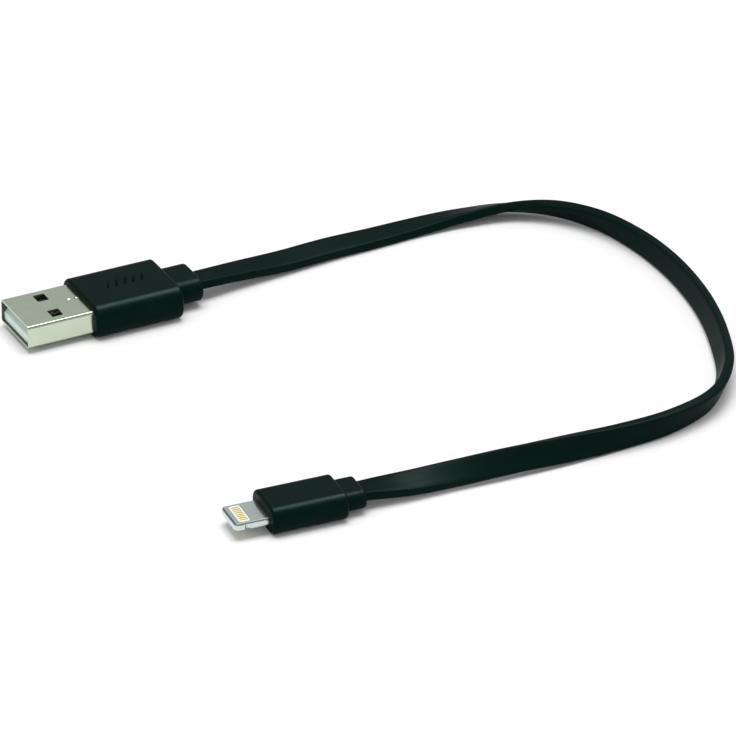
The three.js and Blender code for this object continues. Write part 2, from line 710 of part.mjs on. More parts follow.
// One half of the pressed shield, an open channel over or under the board.
function shieldHalf(side) {
  const front = flangeFront + FLANGE_THICKNESS + GAP;
  const back = phoneJacketStart - GAP;
  const outside = bar(front, back, SHIELD_WIDTH, SHIELD_HEIGHT, 0.5);
  const inside = bar(
    front - CUT_MARGIN, back + CUT_MARGIN, SHIELD_WIDTH - 2 * SHIELD_SHEET,
    SHIELD_HEIGHT - 2 * SHIELD_SHEET, 0.5 - SHIELD_SHEET,
  );
  const otherHalf = block(
    [front - CUT_MARGIN, -SHIELD_WIDTH, side > 0 ? -SHIELD_HEIGHT : -GAP / 2],
    [back + CUT_MARGIN, SHIELD_WIDTH, side > 0 ? GAP / 2 : SHIELD_HEIGHT],
  );
  return cut(outside, inside, otherHalf);
}

function phoneInnerSolid() {
  const width = PHONE_MOULD_WIDTH - 2 * (PHONE_MOULD_WALL + GAP);
  const height = PHONE_MOULD_HEIGHT - 2 * (PHONE_MOULD_WALL + GAP);
  const front = flangeFront + FLANGE_THICKNESS + GAP;
  const back = phoneCavityRear - GAP;
  const body = bar(front, back, width, height, 0.8);
  const shieldPocket = bar(
    front - CUT_MARGIN, phoneJacketStart, SHIELD_WIDTH + 2 * GAP, SHIELD_HEIGHT + 2 * GAP, 0.5,
  );
  return cut(body, shieldPocket, ribbonSlot(phoneJacketStart - GAP, back + CUT_MARGIN, GAP));
}

function buildPhonePlug() {
  const plug = new THREE.Group();
  plug.position.set(PHONE_CORNER[0], PHONE_CORNER[1], phoneAxisHeight);
  plug.rotation.z = THREE.MathUtils.degToRad(PHONE_TURN);
  addMesh(plug, 'phone_plug_tab_frame', toGeometry(tabSolid()), STEEL);
  addMesh(plug, 'phone_plug_contact_carrier', toGeometry(carrierSolid()), WHITE_PLASTIC);
  for (const [face, side] of [['top', 1], ['bottom', -1]]) {
    for (let index = 0; index < PAD_COUNT; index += 1) {
      const name = `phone_plug_pad_${face}_${index + 1}`;
      addMesh(plug, name, toGeometry(padSolid(index, side)), GOLD);
    }
    addMesh(plug, `phone_plug_shield_${face}`, toGeometry(shieldHalf(side)), STEEL);
  }
  const board = block(
    [boardStart, -BOARD_WIDTH / 2, -BOARD_THICKNESS / 2],
    [boardEnd, BOARD_WIDTH / 2, BOARD_THICKNESS / 2],
  );
  addMesh(plug, 'phone_plug_circuit_board', toGeometry(board), BOARD_GREEN);
  for (const part of BOARD_PARTS) {
    addMesh(plug, part[0], toGeometry(boardPart(part)), part[7]);
  }
  addMesh(plug, 'phone_plug_inner_mould', toGeometry(phoneInnerSolid()), GREY_PLASTIC);
  addMesh(plug, 'phone_plug_overmould', toGeometry(gripSolid(PHONE)), BLACK_RUBBER);
  addMesh(plug, 'phone_plug_strain_relief', toGeometry(reliefSolid(PHONE, PHONE_COLLAR)), BLACK_RUBBER);
  object.add(plug);
}

buildHostPlug();
buildCord();
buildPhonePlug();

export default object;
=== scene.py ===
"""Looks of a short flat charging cable: two plugs joined by one loop of black ribbon cord."""
import json
import math

import bmesh
import bpy
from mathutils import Matrix, Vector


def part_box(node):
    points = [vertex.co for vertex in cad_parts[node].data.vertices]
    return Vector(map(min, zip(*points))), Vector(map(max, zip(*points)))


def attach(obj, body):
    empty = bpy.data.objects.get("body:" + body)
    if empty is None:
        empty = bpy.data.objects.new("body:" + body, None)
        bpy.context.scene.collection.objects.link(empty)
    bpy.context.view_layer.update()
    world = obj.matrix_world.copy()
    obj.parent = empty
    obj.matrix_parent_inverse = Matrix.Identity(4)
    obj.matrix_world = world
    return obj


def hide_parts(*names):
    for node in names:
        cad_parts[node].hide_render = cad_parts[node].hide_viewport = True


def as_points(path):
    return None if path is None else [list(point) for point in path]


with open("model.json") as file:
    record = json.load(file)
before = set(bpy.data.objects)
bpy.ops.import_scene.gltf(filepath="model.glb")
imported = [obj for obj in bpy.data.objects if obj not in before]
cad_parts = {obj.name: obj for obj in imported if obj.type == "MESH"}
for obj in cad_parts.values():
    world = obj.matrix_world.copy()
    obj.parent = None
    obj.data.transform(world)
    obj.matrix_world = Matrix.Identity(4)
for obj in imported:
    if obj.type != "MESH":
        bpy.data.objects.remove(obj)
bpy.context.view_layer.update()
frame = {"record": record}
scene = bpy.context.scene
bpy.ops.object.select_all(action="DESELECT")

MM = 0.001

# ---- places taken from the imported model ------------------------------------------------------
host_shell_low, host_shell_high = (Vector(p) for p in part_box("host_plug_shell"))
host_grip_low, host_grip_high = (Vector(p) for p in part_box("host_plug_overmould"))
host_relief_low, host_relief_high = (Vector(p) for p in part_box("host_plug_strain_relief"))
phone_grip_low, phone_grip_high = (Vector(p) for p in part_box("phone_plug_overmould"))

host_axis = (host_shell_low + host_shell_high) / 2
HOST_TIP = host_shell_low.x

# The phone plug lies turned. Two of its mounts stand on its axis, so they give its tip and turn.
mounts = {mount["name"]: Vector(mount["pos_m"]) for mount in frame["record"]["mounts"]}
TAB_MOUNT_FROM_TIP = 0.0048
phone_heading = mounts["phone_plug_base"] - mounts["phone_plug_tab_top"]
phone_heading.z = 0
phone_heading.normalize()
PHONE_TURN = math.atan2(phone_heading.y, phone_heading.x)
phone_axis = mounts["phone_plug_tab_top"] - phone_heading * TAB_MOUNT_FROM_TIP
phone_axis.z = (phone_grip_low.z + phone_grip_high.z) / 2
PHONE_TIP = phone_axis.x

# ---- sizes ------------------------------------------------------------------------------------
FIT = 0.1 * MM

RIBBON_WIDTH = 4.7 * MM
RIBBON_THICKNESS = 1.8 * MM
RIBBON_CORNER = 0.42 * MM
JACKET_WALL = 0.4 * MM
RIBBON_INSIDE_HOST = 11.9 * MM
RIBBON_INSIDE_PHONE = 6.1 * MM
RIBBON_STATIONS = 420
RIBBON_LEAD_OUT = 1.5 * MM

SHELL_WIDTH = 12 * MM
SHELL_HEIGHT = 4.5 * MM
SHELL_SHEET = 0.3 * MM
SHELL_BEND = 0.6 * MM
WINDOW_WIDTH = 2.5 * MM
WINDOW_LENGTH = 2.2 * MM
WINDOW_START = 5.5 * MM
WINDOW_SPACING = 6.2 * MM

TAB_WIDTH = 6.7 * MM
TAB_THICKNESS = 1.5 * MM
TAB_EXPOSED = 6.4 * MM
TAB_WINDOW_START = 1.05 * MM
TAB_WINDOW_LENGTH = 2.1 * MM
TAB_WINDOW_WIDTH = 5.4 * MM
TAB_END = 10.8 * MM
DETENT_PLACE = 2.4 * MM
DETENT_RADIUS = 0.7 * MM
DETENT_DEPTH = 0.35 * MM
DETENT_HEIGHT = 1.0 * MM
TAB_CORNER = 0.9 * MM
TAB_RIM = 0.45 * MM
TAB_SLOT = (4.4 * MM, 0.8 * MM)
FLANGE = (8 * MM, 2.6 * MM)
FLANGE_DISTANCE = 1.0 * MM
FLANGE_THICKNESS = 0.8 * MM
CARRIER_REACH = (4.2 * MM, 0.6 * MM)
SEAT_DEPTH = 0.12 * MM
PAD_COUNT = 8
PAD_PITCH = 0.58 * MM
PAD_WIDTH = 0.38 * MM
PAD_LENGTH = 1.4 * MM
PAD_THICKNESS = 0.1 * MM
PHONE_GRIP = (13.9 * MM, 9.9 * MM, 5.1 * MM)
PHONE_RELIEF_END = 24.1 * MM
PHONE_SPIGOT_START = 19.1 * MM

# Width and height of the necks that the collars reach into the grips with.
HOST_SPIGOT = (6.3 * MM, 3.4 * MM)
PHONE_SPIGOT = (5.7 * MM, 2.8 * MM)
SPIGOT_CORNER = 0.9 * MM

# Corner of each grip outside, and of the plain block that its hollow is worked out from.
HOST_GRIP_CORNER = 2.6 * MM
HOST_HOLLOW_CORNER = 1.9 * MM
PHONE_GRIP_CORNER = 2.2 * MM
PHONE_HOLLOW_CORNER = 1.5 * MM
GRIP_WALL = 0.5 * MM

# Rounds of each grip's rear and front edges, then its front and rear walls.
HOST_GRIP_ROUNDS = (0.55 * MM, 0.6 * MM)
PHONE_GRIP_ROUNDS = (0.5 * MM, 0.5 * MM)
HOST_GRIP_ENDS = (1.4 * MM, 2.2 * MM)
PHONE_GRIP_ENDS = (0.9 * MM, 1.3 * MM)

# Width, height and corner of each collar, then the round on its rear edge.
HOST_COLLAR = (9.4 * MM, 4.8 * MM, 2.3 * MM)
PHONE_COLLAR = (7.4 * MM, 3.6 * MM, 1.7 * MM)
HOST_COLLAR_ROUND = 0.6 * MM
PHONE_COLLAR_ROUND = 0.5 * MM

# Middle of the ribbon in metres, and its twist in degrees: 0 lies flat and -90 stands on edge.
ROUTE = [
    (0.0270, 0.0385, 0.0027, 5),
    (0.0370, 0.0395, 0.0019, 12),
    (0.0470, 0.0405, 0.0016, 13),
    (0.0570, 0.0410, 0.0013, 8),
    (0.0670, 0.0415, 0.0012, 0),
    (0.0760, 0.0410, 0.0016, -15),
    (0.0850, 0.0390, 0.0021, -30),
    (0.0920, 0.0340, 0.0025, -50),
    (0.0970, 0.0260, 0.0026, -70),
    (0.0995, 0.0160, 0.0026, -85),
    (0.1000, 0.0060, 0.0026, -95),
    (0.0990, -0.0040, 0.0026, -100),
    (0.0970, -0.0130, 0.0026, -105),
    (0.0935, -0.0230, 0.0026, -110),
    (0.0885, -0.0330, 0.0026, -110),
    (0.0810, -0.0405, 0.0026, -110),
    (0.0710, -0.0440, 0.0026, -100),
    (0.0600, -0.0445, 0.0025, -90),
    (0.0490, -0.0440, 0.0026, -70),
    (0.0380, -0.0430, 0.0025, -50),
    (0.0280, -0.0420, 0.0022, -35),
    (0.0200, -0.0415, 0.0023, -20),
]


# ---- camera -----------------------------------------------------------------------------------
CAMERA_TARGET = Vector((0.03427, 0.00015, 0))
CAMERA_DISTANCE = 0.884
CAMERA_AZIMUTH = math.radians(-28.2)
CAMERA_ELEVATION = math.radians(29.77)
CAMERA_ROLL = math.radians(0.79)
CAMERA_LENS = 242


def make_camera():
    data = bpy.data.cameras.new("camera")
    data.sensor_width = 36
    data.lens = CAMERA_LENS
    data.clip_start = 0.05
    data.clip_end = 20
    camera = bpy.data.objects.new("camera", data)
    scene.collection.objects.link(camera)
    back = Vector((
        math.sin(CAMERA_AZIMUTH) * math.cos(CAMERA_ELEVATION),
        -math.cos(CAMERA_AZIMUTH) * math.cos(CAMERA_ELEVATION),
        math.sin(CAMERA_ELEVATION),
    ))
    right = Vector((math.cos(CAMERA_AZIMUTH), math.sin(CAMERA_AZIMUTH), 0))
    up = back.cross(right)
    rolled_right = right * math.cos(CAMERA_ROLL) + up * math.sin(CAMERA_ROLL)
    rolled_up = up * math.cos(CAMERA_ROLL) - right * math.sin(CAMERA_ROLL)
    turn = Matrix((rolled_right, rolled_up, back)).transposed().to_4x4()
    camera.matrix_world = Matrix.Translation(CAMERA_TARGET + back * CAMERA_DISTANCE) @ turn
    scene.camera = camera


make_camera()


# ---- materials ----------------------------------------------------------------------------------
class Finish:
    """A material and its node tree, with short helpers to lay nodes out."""

    def __init__(self, name):
        self.material = bpy.data.materials.new(name)
        self.material.use_nodes = True
        self.tree = self.material.node_tree
        self.shader = self.tree.nodes["Principled BSDF"]

    def node(self, kind, **inputs):
        made = self.tree.nodes.new(kind)
        for key, value in inputs.items():
            made.inputs[key].default_value = value
        return made

    def link(self, source, target):
        self.tree.links.new(source, target)

    def place(self, kind="Object"):
        return self.tree.nodes.new("ShaderNodeTexCoord").outputs[kind]

    def mapped(self, scale, kind="Object"):
        mapping = self.tree.nodes.new("ShaderNodeMapping")
        mapping.inputs["Scale"].default_value = scale
        self.link(self.place(kind), mapping.inputs["Vector"])
        return mapping.outputs["Vector"]

    def noise(self, scale, detail=4.0, stretch=(1, 1, 1), kind="Object"):
        made = self.tree.nodes.new("ShaderNodeTexNoise")
        made.inputs["Scale"].default_value = scale
        made.inputs["Detail"].default_value = detail
        self.link(self.mapped(stretch, kind), made.inputs["Vector"])
        return made.outputs["Fac"]

    def ramp(self, source, stops):
        made = self.tree.nodes.new("ShaderNodeValToRGB")
        elements = made.color_ramp.elements
        elements[0].position, elements[0].color = stops[0][0], (*stops[0][1], 1)
        elements[1].position, elements[1].color = stops[-1][0], (*stops[-1][1], 1)
        for position, color in stops[1:-1]:
            elements.new(position).color = (*color, 1)
        self.link(source, made.inputs["Fac"])
        return made.outputs["Color"]

    def spread(self, source, low, high):
        made = self.tree.nodes.new("ShaderNodeMapRange")
        made.inputs["To Min"].default_value = low
        made.inputs["To Max"].default_value = high
        self.link(source, made.inputs["Value"])
        return made.outputs["Result"]

    def bump(self, *heights):
        """Bumps laid over each other: pairs of a height output and its depth in metres."""
        previous = None
        for source, depth in heights:
            made = self.tree.nodes.new("ShaderNodeBump")
            made.inputs["Strength"].default_value = 1
            made.inputs["Distance"].default_value = depth
            self.link(source, made.inputs["Height"])
            if previous:
                self.link(previous, made.inputs["Normal"])
            previous = made.outputs["Normal"]
        self.link(previous, self.shader.inputs["Normal"])

    def set(self, **values):
        for key, value in values.items():
            self.shader.inputs[key.replace("_", " ")].default_value = value


def rubber(name, dark, light, roughness, grain, gloss=0.032):
    """Satin black moulding compound: a fine spark-eroded grain and slow tone changes."""
    made = Finish(name)
    cloud = made.noise(260, 3)
    made.link(made.ramp(cloud, [(0.3, dark), (0.7, light)]), made.shader.inputs["Base Color"])
    rough = made.spread(made.noise(900, 5), roughness - 0.05, roughness + 0.07)
    made.link(rough, made.shader.inputs["Roughness"])
    made.bump((made.noise(9000, 3), grain), (made.noise(1500, 2), grain * 0.5))
    made.set(Specular_IOR_Level=gloss, Specular_Tint=(0.6, 1, 0.9, 1))
    return made.material


def jacket_finish():
    """Extruded jacket: faint draw lines along the ribbon, over a very fine grain."""
    made = Finish("jacket_black")
    lines = made.noise(1, 3, (6, 5200, 1), "UV")
    cloud = made.noise(1, 3, (160, 500, 1), "UV")
    tone = made.ramp(cloud, [(0.3, (0.0018, 0.0085, 0.007)), (0.7, (0.0028, 0.011, 0.009))])
    made.link(tone, made.shader.inputs["Base Color"])
    made.link(made.spread(lines, 0.36, 0.5), made.shader.inputs["Roughness"])
    made.bump((lines, 0.006 * MM), (made.noise(7000, 3), 0.004 * MM))
    made.set(Specular_IOR_Level=0.02, Specular_Tint=(0.6, 1, 0.9, 1))
    return made.material


def plated_metal(name, color, roughness, drawn, grain=0.002 * MM):
    """Nickel plating over drawn metal: fine lines one way and small cloudy changes of gloss."""
    made = Finish(name)
    lines = made.noise(900, 4, drawn)
    cloud = made.noise(320, 3)
    low = tuple(c * 0.93 for c in color)
    made.link(made.ramp(cloud, [(0.3, low), (0.7, color)]), made.shader.inputs["Base Color"])
    made.link(made.spread(lines, roughness - 0.05, roughness + 0.08),
              made.shader.inputs["Roughness"])
    made.bump((lines, grain), (cloud, grain * 2))
    made.set(Metallic=1.0)
    return made.material


def gold_finish():
    made = Finish("gold_plating")
    cloud = made.noise(1500, 3)
    made.link(made.ramp(cloud, [(0.3, (0.84, 0.63, 0.09)), (0.7, (0.93, 0.73, 0.13))]),
              made.shader.inputs["Base Color"])
    made.link(made.spread(made.noise(5000, 3), 0.24, 0.38), made.shader.inputs["Roughness"])
    made.bump((made.noise(6000, 2, (0.2, 1, 1)), 0.002 * MM))
    made.set(Metallic=1.0)
    return made.material


def moulded_plastic(name, dark, light, roughness):
    made = Finish(name)
    made.link(made.ramp(made.noise(400, 3), [(0.3, dark), (0.7, light)]),
              made.shader.inputs["Base Color"])
    made.link(made.spread(made.noise(1500, 3), roughness - 0.04, roughness + 0.06),
              made.shader.inputs["Roughness"])
    made.bump((made.noise(6000, 3), 0.003 * MM))
    return made.material


def board_finish():
    """Solder mask over laminate, with the weave just showing through."""
    made = Finish("board_green")
    weave = made.tree.nodes.new("ShaderNodeTexChecker")
    weave.inputs["Scale"].default_value = 4000
    weave.inputs["Color1"].default_value = (0.012, 0.09, 0.04, 1)
    weave.inputs["Color2"].default_value = (0.016, 0.11, 0.05, 1)
    made.link(made.place(), weave.inputs["Vector"])
    made.link(weave.outputs["Color"], made.shader.inputs["Base Color"])
    made.bump((made.noise(3000, 3), 0.004 * MM))
    made.set(Roughness=0.35)
    return made.material


GRIP_BLACK = rubber("grip_black", (0.001, 0.0078, 0.0064), (0.0018, 0.0096, 0.0078), 0.34,
                    0.004 * MM)
MARK_BLACK = rubber("mark_black", (0.0006, 0.004, 0.0033), (0.0008, 0.005, 0.004), 0.3,
                    0.003 * MM, 0.012)
RELIEF_BLACK = rubber("relief_black", (0.001, 0.0072, 0.006), (0.0018, 0.009, 0.0074), 0.4,
                      0.005 * MM)
JACKET_BLACK = jacket_finish()
SHELL_STEEL = plated_metal("shell_steel", (0.555, 0.64, 0.51), 0.2, (0.12, 3, 3), 0.001 * MM)
# Darker copy of the shell steel for its inside faces: painted shade inside the shell.
PAINTED_SHELL_INSIDE_SHADE = plated_metal("shell_inside", (0.16, 0.18, 0.13), 0.42, (0.12, 3, 3), 0.001 * MM)
# Darker copy of the tab metal for the sloped faces of its rounded rim: a painted dark reflection.
PAINTED_RIM_REFLECTION = plated_metal("tab_edge", (0.17, 0.19, 0.18), 0.3, (0.2, 3, 3), 0.001 * MM)
TAB_METAL = plated_metal("tab_metal", (0.61, 0.70, 0.67), 0.2, (0.2, 3, 3), 0.001 * MM)
SHIELD_METAL = plated_metal("shield_metal", (0.55, 0.55, 0.52), 0.42, (1, 1, 1))
GOLD = gold_finish()
TONGUE_WHITE = moulded_plastic("tongue_white", (0.70, 0.85, 0.79), (0.78, 0.91, 0.86), 0.42)
CARRIER_WHITE = moulded_plastic("carrier_white", (0.78, 0.84, 0.85), (0.86, 0.9, 0.9), 0.4)
MOULD_GREY = moulded_plastic("mould_grey", (0.07, 0.075, 0.075), (0.09, 0.095, 0.095), 0.5)
CHIP_BLACK = moulded_plastic("chip_black", (0.008, 0.008, 0.009), (0.014, 0.014, 0.015), 0.45)
CERAMIC = moulded_plastic("ceramic_body", (0.36, 0.24, 0.12), (0.44, 0.3, 0.16), 0.55)
WIRE_FINISHES = {
    "power": moulded_plastic("wire_red", (0.36, 0.015, 0.015), (0.42, 0.02, 0.02), 0.38),
    "data_minus": moulded_plastic("wire_white", (0.74, 0.74, 0.72), (0.8, 0.8, 0.78), 0.38),
    "data_plus": moulded_plastic("wire_green", (0.02, 0.18, 0.05), (0.03, 0.22, 0.06), 0.38),
    "ground": moulded_plastic("wire_black", (0.006, 0.006, 0.006), (0.01, 0.01, 0.01), 0.38),
}
BOARD = board_finish()


def coat(piece, material):
    piece.data.materials.clear()
    piece.data.materials.append(material)


# ---- modelling helpers --------------------------------------------------------------------------
def activate(piece):
    bpy.ops.object.select_all(action="DESELECT")
    piece.select_set(True)
    bpy.context.view_layer.objects.active = piece


def new_block(name, low, high, turn=0.0):
    """A block between two corners, its place in its mesh."""
    bpy.ops.object.select_all(action="DESELECT")
    middle = (Vector(low) + Vector(high)) / 2
    bpy.ops.mesh.primitive_cube_add(size=1, location=middle, rotation=(0, 0, turn))
    piece = bpy.context.active_object
    piece.name = name
    piece.data.name = name
    piece.scale = Vector(high) - Vector(low)
    bpy.ops.object.transform_apply(location=True, rotation=True, scale=True)
    return piece


def new_rod(name, middle, radius, depth, turn, sides=48):
    bpy.ops.object.select_all(action="DESELECT")
    bpy.ops.mesh.primitive_cylinder_add(
        vertices=sides, radius=radius, depth=depth, location=middle, rotation=turn)
    piece = bpy.context.active_object
    piece.name = name
    piece.data.name = name
    bpy.ops.object.transform_apply(location=True, rotation=True, scale=True)
    return piece


def new_ball(name, middle, radius):
    bpy.ops.object.select_all(action="DESELECT")
    bpy.ops.mesh.primitive_uv_sphere_add(
        segments=40, ring_count=24, radius=radius, location=middle)
    piece = bpy.context.active_object
    piece.name = name
    piece.data.name = name
    bpy.ops.object.transform_apply(location=True, rotation=True, scale=True)
    return piece


def select_edges(piece, test):
    """Enter edit mode with only the edges that pass the test selected."""
    activate(piece)
    bpy.ops.object.mode_set(mode="EDIT")
    bpy.ops.mesh.select_mode(type="EDGE")
    bpy.ops.mesh.select_all(action="DESELECT")
    mesh = bmesh.from_edit_mesh(piece.data)
    for edge in mesh.edges:
        a, b = (v.co for v in edge.verts)
        edge.select = test(a, b)
    mesh.select_flush_mode()
    bmesh.update_edit_mesh(piece.data)


def round_edges(piece, test, offset, segments):
    select_edges(piece, test)
    bpy.ops.mesh.bevel(offset=offset, segments=segments, affect="EDGES", clamp_overlap=True)
    bpy.ops.object.mode_set(mode="OBJECT")


def runs_along(axis, tolerance=1e-7):
    def test(a, b):
        others = [i for i in range(3) if i != axis]
        return all(abs(a[i] - b[i]) < tolerance for i in others)
    return test


def in_plane(axis, place, tolerance=2e-6):
    def test(a, b):
        return abs(a[axis] - place) < tolerance and abs(b[axis] - place) < tolerance
    return test


def combine(piece, other, operation):
    activate(piece)
    modifier = piece.modifiers.new("combine", "BOOLEAN")
    modifier.operation = operation
    modifier.solver = "EXACT"
    modifier.object = other
    bpy.ops.object.modifier_apply(modifier=modifier.name)
    mesh = other.data
    bpy.data.objects.remove(other)
    bpy.data.meshes.remove(mesh)


def carve(piece, *cutters):
    for cutter in cutters:
        combine(piece, cutter, "DIFFERENCE")


def soften(piece, width, segments=2, angle=35):
    """A small round on every crisp edge, as moulding and plating leave."""
    activate(piece)
    modifier = piece.modifiers.new("soften", "BEVEL")
    modifier.width = width
    modifier.segments = segments
    modifier.limit_method = "ANGLE"
    modifier.angle_limit = math.radians(angle)
    modifier.use_clamp_overlap = True
    bpy.ops.object.modifier_apply(modifier=modifier.name)


def close_up(piece, smooth_angle=32):
    """Merge doubled corners and smooth the shading across shallow edges."""
    activate(piece)
    bpy.ops.object.mode_set(mode="EDIT")
    bpy.ops.mesh.select_all(action="SELECT")
    bpy.ops.mesh.remove_doubles(threshold=1e-7)
    bpy.ops.object.mode_set(mode="OBJECT")
    bpy.ops.object.shade_smooth_by_angle(angle=math.radians(smooth_angle))
    modifier = piece.modifiers.new("flat faces stay flat", "WEIGHTED_NORMAL")
    modifier.keep_sharp = True
    bpy.ops.object.modifier_apply(modifier=modifier.name)


def settle(piece, material, slot, *nodes):
    """Give a finished piece its material, body and the nodes that it stands for. Its slot is not
    used.
    """
    coat(piece, material)
    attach(piece, "root")
    if nodes:
        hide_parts(*nodes)


def rounded_bar(name, low, high, corner, segments=8):
    """A block along X with its four long edges rounded."""
    piece = new_block(name, low, high)
    round_edges(piece, runs_along(0), corner, segments)
    return piece


def centred(start, end, axis, width, height):
    """Corners of a block along X between two places, centred on a plug's axis."""
    return (
        (start, axis.y - width / 2, axis.z - height / 2),
        (end, axis.y + width / 2, axis.z + height / 2),
    )


# ---- the ribbon cord -----------------------------------------------------------------------------
def centripetal_point(points, t):
    """Point on a centripetal Catmull-Rom curve, t from 0 to 1 over all its spans."""
    last = len(points) - 1
    place = min(t * last, last - 1e-9)
    index = int(place)
    weight = place - index
    before = points[index - 1] if index > 0 else points[0] * 2 - points[1]
    after = points[index + 2] if index + 2 <= last else points[last] * 2 - points[last - 1]
    here, there = points[index], points[index + 1]
    gap0 = max((here - before).length ** 0.5, 1e-6)
    gap1 = max((there - here).length ** 0.5, 1e-6)
    gap2 = max((after - there).length ** 0.5, 1e-6)
    slope0 = ((here - before) / gap0 - (there - before) / (gap0 + gap1) + (there - here) / gap1)
    slope1 = ((there - here) / gap1 - (after - here) / (gap1 + gap2) + (after - there) / gap2)
    slope0, slope1 = slope0 * gap1, slope1 * gap1
    square, cube = weight * weight, weight ** 3
    return (here * (2 * cube - 3 * square + 1) + slope0 * (cube - 2 * square + weight)
            + there * (3 * square - 2 * cube) + slope1 * (cube - square))


def eased_value(values, t):
    last = len(values) - 1
    place = min(t * last, last - 1e-9)
    index = int(place)
    w = place - index
    a = values[max(index - 1, 0)]
    b, c = values[index], values[index + 1]
    d = values[min(index + 2, last)]
    return 0.5 * (2 * b + (c - a) * w + (2 * a - 5 * b + 4 * c - d) * w * w
                  + (3 * b - a - 3 * c + d) * w ** 3)


def ribbon_path():
    """Evenly spaced stations: middle, direction across and direction through the ribbon."""
    def host(x):
        return Vector((x, host_axis.y, host_axis.z))

    def phone(along):
        return phone_axis + phone_heading * along

    host_exit = host_relief_high.x
    phone_exit = PHONE_RELIEF_END
    points = [
        host(host_exit - RIBBON_INSIDE_HOST),
        host(host_exit - RIBBON_INSIDE_HOST / 2),
        host(host_exit),
        host(host_exit + RIBBON_LEAD_OUT),
        *(Vector(line[:3]) for line in ROUTE),
        phone(phone_exit + RIBBON_LEAD_OUT),
        phone(phone_exit),
        phone(phone_exit - RIBBON_INSIDE_PHONE / 2),
        phone(phone_exit - RIBBON_INSIDE_PHONE),
    ]
    twists = [0, 0, 0, 0, *(line[3] for line in ROUTE), 0, 0, 0, 0]
    fine = 6000
    dense = [centripetal_point(points, i / fine) for i in range(fine + 1)]
    lengths = [0.0]
    for a, b in zip(dense, dense[1:]):
        lengths.append(lengths[-1] + (b - a).length)
    stations = []
    k = 0
    for i in range(RIBBON_STATIONS + 1):
        goal = lengths[-1] * i / RIBBON_STATIONS
        while k < fine - 1 and lengths[k + 1] < goal:
            k += 1
        t = (k + (goal - lengths[k]) / (lengths[k + 1] - lengths[k])) / fine
        point = centripetal_point(points, t)
        step = 1e-4
        ahead = centripetal_point(points, min(t + step, 1))
        behind = centripetal_point(points, max(t - step, 0))
        tangent = (ahead - behind).normalized()
        left = Vector((0, 0, 1)).cross(tangent).normalized()
        above = tangent.cross(left)
        twist = math.radians(eased_value(twists, t))
        across = left * math.cos(twist) + above * math.sin(twist)
        through = above * math.cos(twist) - left * math.sin(twist)
        stations.append((point, across, through))
    return stations, lengths[-1]


def ribbon_section(width, thickness, corner, steps, face_parts):
    """Closed outline with rounded corners and long faces divided evenly."""
    outline = []
    x, y = width / 2 - corner, thickness / 2 - corner
    corners = ((x, y, 0), (-x, y, 90), (-x, -y, 180), (x, -y, 270))
    for place, (cx, cy, start) in enumerate(corners):
        for i in range(steps + 1):
            angle = math.radians(start + 90 * i / steps)
            outline.append((cx + corner * math.cos(angle), cy + corner * math.sin(angle)))
        parts = face_parts if place % 2 == 0 else 3
        ax, ay = outline[-1]
        nx, ny, following = corners[(place + 1) % 4]
        angle = math.radians(following)
        bx, by = nx + corner * math.cos(angle), ny + corner * math.sin(angle)
        for i in range(1, parts):
            outline.append((ax + (bx - ax) * i / parts, ay + (by - ay) * i / parts))
    return outline


def sweep_ribbon(stations):
    """Hollow jacket: outer and inner skins along the path, joined by a ring at each end."""
    outer = ribbon_section(RIBBON_WIDTH, RIBBON_THICKNESS, RIBBON_CORNER, 4, 6)
    inner = ribbon_section(
        RIBBON_WIDTH - 2 * JACKET_WALL, RIBBON_THICKNESS - 2 * JACKET_WALL, 0.1 * MM, 4, 6)
    sides = len(outer)
    mesh = bmesh.new()
    along = mesh.loops.layers.uv.new("UVMap")
    rings = []
    for point, across, through in stations:
        rings.append([
            [mesh.verts.new(point + across * x + through * y) for x, y in outline]
            for outline in (outer, inner)
        ])
    spacing = (stations[1][0] - stations[0][0]).length
    reach = [0.0]
    for i in range(sides):
        ax, ay = outer[i]
        bx, by = outer[(i + 1) % sides]
        reach.append(reach[-1] + math.hypot(bx - ax, by - ay))
    for i in range(len(stations) - 1):
        for skin in (0, 1):
            for j in range(sides):
                k = (j + 1) % sides
                corners = [(i, j, j), (i, k, j + 1), (i + 1, k, j + 1), (i + 1, j, j)]
                if skin == 0:
                    corners.reverse()
                face = mesh.faces.new([rings[a][skin][b] for a, b, c in corners])
                face.smooth = True
                for loop, (a, b, c) in zip(face.loops, corners):
                    loop[along].uv = (a * spacing, reach[c])
    for end, flip in ((0, False), (len(stations) - 1, True)):
        for j in range(sides):
            k = (j + 1) % sides
            ring = [rings[end][0][j], rings[end][0][k], rings[end][1][k], rings[end][1][j]]
            if flip:
                ring.reverse()
            mesh.faces.new(ring)
    mesh.normal_update()
    data = bpy.data.meshes.new("cord_ribbon")
    mesh.to_mesh(data)
    mesh.free()
    piece = bpy.data.objects.new("cord_ribbon", data)
    scene.collection.objects.link(piece)
    return piece


def make_cord():
    stations, length = ribbon_path()
    piece = sweep_ribbon(stations)
    settle(piece, JACKET_BLACK, "black_jacket", "cord_jacket")
    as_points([point for point, across, through in stations[::2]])


make_cord()


# ---- host plug -----------------------------------------------------------------------------------
DIMPLE_DEPTH = 0.2 * MM
DIMPLES = (
    (10.8 * MM, 0.1 * MM, 0.8 * MM),
    (12.3 * MM, 0.2 * MM, 0.5 * MM),
)


